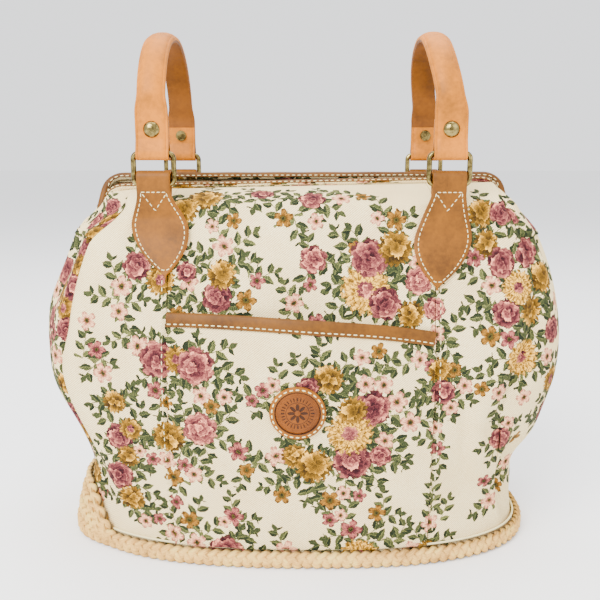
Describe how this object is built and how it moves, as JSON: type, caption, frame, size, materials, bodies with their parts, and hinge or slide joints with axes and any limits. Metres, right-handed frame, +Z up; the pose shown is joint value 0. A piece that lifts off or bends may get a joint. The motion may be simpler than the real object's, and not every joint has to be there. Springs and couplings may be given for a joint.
{
  "type": "carpet bag",
  "caption": "Carpet bag: printed twill body on a plaited straw base, leather-bound hinged mouth, front pocket, round patch and upright padded handles on rings.",
  "frame": {"origin": "middle of the underside of the straw base, where the bag stands", "axes": "+X across the bag to its right seen from the front, +Y towards its back, -Y its pocket side, +Z up"},
  "size_m": [0.4118, 0.2006, 0.4043],
  "materials": {
    "printed_cloth": "matt twill with a woven flower print",
    "lining_cloth": "plain matt cotton",
    "board": "plain pressed board",
    "straw": "plaited straw, satin",
    "leather": "smooth tan leather with pale stitching",
    "handle_backing": "raw flesh side of leather",
    "cord_core": "twisted cord",
    "antique_brass": "antiqued, satin",
    "steel_wire": "drawn wire"
  },
  "bodies": {
    "bag": {"front_centre_panel": "printed_cloth", "front_left_panel": "printed_cloth", "front_right_panel": "printed_cloth", "back_panel": "printed_cloth", "left_gusset": "printed_cloth", "right_gusset": "printed_cloth", "left_mouth_corner": "printed_cloth", "right_mouth_corner": "printed_cloth", "front_top_cloth": "printed_cloth", "rear_top_cloth": "printed_cloth", "front_pocket": "printed_cloth", "pocket_binding": "leather", "round_patch": "leather", "lining": "lining_cloth", "base_board": "board", "straw_base": "straw", "plaited_rim": "straw", "left_hinge_pin": "antique_brass", "right_hinge_pin": "antique_brass", "front_left_tab": "leather", "front_right_tab": "leather", "rear_left_tab": "leather", "rear_right_tab": "leather"},
    "mouth_front": {"front_bow": "steel_wire", "front_binding": "leather"},
    "mouth_rear": {"rear_bow": "steel_wire", "rear_binding": "leather"},
    "front_ring_left": {"front_left_ring": "antique_brass"},
    "handle_left": {"left_handle_strap": "leather", "left_handle_core": "cord_core", "left_handle_lining": "handle_backing", "left_handle_rivets": "antique_brass"},
    "rear_ring_left": {"rear_left_ring": "antique_brass"},
    "front_ring_right": {"front_right_ring": "antique_brass"},
    "handle_right": {"right_handle_strap": "leather", "right_handle_core": "cord_core", "right_handle_lining": "handle_backing", "right_handle_rivets": "antique_brass"},
    "rear_ring_right": {"rear_right_ring": "antique_brass"}
  },
  "joints": [
    {"name": "front_bow_hinge", "type": "hinge", "parent": "bag", "child": "mouth_front", "pos_m": [0, 0, 0.26], "axis": [1, 0, 0], "range_deg": [-11, 50], "deforming": ["front_top_cloth", "left_mouth_corner", "right_mouth_corner"]},
    {"name": "rear_bow_hinge", "type": "hinge", "parent": "bag", "child": "mouth_rear", "pos_m": [0, 0, 0.26], "axis": [1, 0, 0], "range_deg": [-50, 11], "deforming": ["rear_top_cloth"]},
    {"name": "left_front_ring_swing", "type": "hinge", "parent": "bag", "child": "front_ring_left", "pos_m": [-0.108, -0.06, 0.289], "axis": [1, 0, 0], "range_deg": [-35, 35]},
    {"name": "left_handle_swing", "type": "hinge", "parent": "front_ring_left", "child": "handle_left", "pos_m": [-0.108, -0.06, 0.311], "axis": [1, 0, 0], "range_deg": [-35, 35]},
    {"name": "left_rear_ring_swing", "type": "hinge", "parent": "handle_left", "child": "rear_ring_left", "pos_m": [-0.108, 0.06, 0.311], "axis": [1, 0, 0], "range_deg": [-35, 35]},
    {"name": "right_front_ring_swing", "type": "hinge", "parent": "bag", "child": "front_ring_right", "pos_m": [0.108, -0.06, 0.289], "axis": [1, 0, 0], "range_deg": [-35, 35]},
    {"name": "right_handle_swing", "type": "hinge", "parent": "front_ring_right", "child": "handle_right", "pos_m": [0.108, -0.06, 0.311], "axis": [1, 0, 0], "range_deg": [-35, 35]},
    {"name": "right_rear_ring_swing", "type": "hinge", "parent": "handle_right", "child": "rear_ring_right", "pos_m": [0.108, 0.06, 0.311], "axis": [1, 0, 0], "range_deg": [-35, 35]}
  ],
  "couplings": [
    {"joint": "rear_bow_hinge", "follows": "front_bow_hinge", "ratio": -1},
    {"joint": "left_handle_swing", "follows": "left_front_ring_swing", "ratio": -1},
    {"joint": "left_rear_ring_swing", "follows": "left_front_ring_swing", "ratio": 1},
    {"joint": "right_handle_swing", "follows": "right_front_ring_swing", "ratio": -1},
    {"joint": "right_rear_ring_swing", "follows": "right_front_ring_swing", "ratio": 1}
  ]
}
